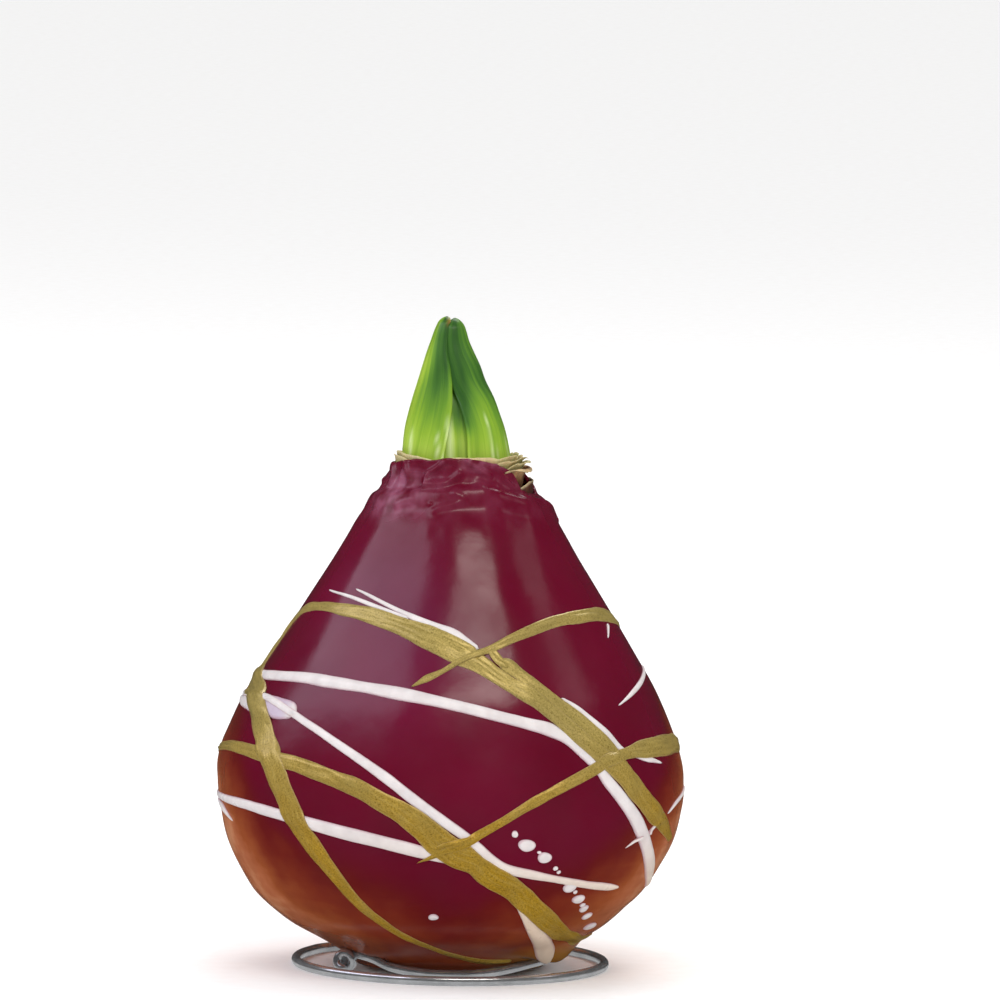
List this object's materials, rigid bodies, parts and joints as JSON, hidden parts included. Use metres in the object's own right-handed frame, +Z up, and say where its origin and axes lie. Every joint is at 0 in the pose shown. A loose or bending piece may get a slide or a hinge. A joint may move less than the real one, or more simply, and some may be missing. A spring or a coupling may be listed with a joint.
{
  "type": "waxed amaryllis bulb",
  "caption": "Flower bulb sealed in dark red wax with gold and white drizzles, sprouting leaves, on a bent wire stand.",
  "frame": {"origin": "on the ground at the centre of the wire stand's outer ring, the middle of the footprint", "axes": "+Z up along the bulb's growth, -Y towards the front with the main drizzle crossings, +X to the right"},
  "size_m": [0.1018, 0.1005, 0.1408],
  "materials": {
    "wax": "satin burgundy wax with a copper cast low down",
    "bulb_flesh": "dry bulb skin",
    "wire": "bright drawn steel",
    "leaf": "waxy green leaf",
    "dry_scale": "papery dry bulb scale",
    "white_wax": "satin white wax",
    "gold_wax": "fine-grained metallic gold wax"
  },
  "bodies": {
    "root": {"wax_coat": "wax", "bulb": "bulb_flesh", "wire_stand": "wire", "left_leaf": "leaf", "right_leaf": "leaf", "inner_leaf": "leaf", "neck_scale_left": "dry_scale", "neck_scale_front": "dry_scale", "neck_scale_right": "dry_scale", "neck_scale_right_fold": "dry_scale", "neck_scale_back": "dry_scale", "white_drizzle_low": "white_wax", "white_drizzle_middle": "white_wax", "white_drizzle_high": "white_wax", "white_tail_upper": "white_wax", "white_tail_lower": "white_wax", "white_run_base": "white_wax", "white_stroke_1": "white_wax", "white_stroke_2": "white_wax", "white_stroke_3": "white_wax", "white_stroke_4": "white_wax", "white_stroke_5": "white_wax", "white_stroke_6": "white_wax", "white_drop_1": "white_wax", "white_drop_2": "white_wax", "white_drop_3": "white_wax", "white_drop_4": "white_wax", "white_drop_5": "white_wax", "white_drop_6": "white_wax", "white_drop_7": "white_wax", "white_drop_8": "white_wax", "white_drop_9": "white_wax", "white_drop_10": "white_wax", "white_drop_11": "white_wax", "white_drop_12": "white_wax", "white_drop_13": "white_wax", "white_drop_14": "white_wax", "gold_drizzle_middle": "gold_wax", "gold_drizzle_main": "gold_wax", "gold_drizzle_upper": "gold_wax", "gold_drizzle_cross": "gold_wax"}
  },
  "joints": []
}
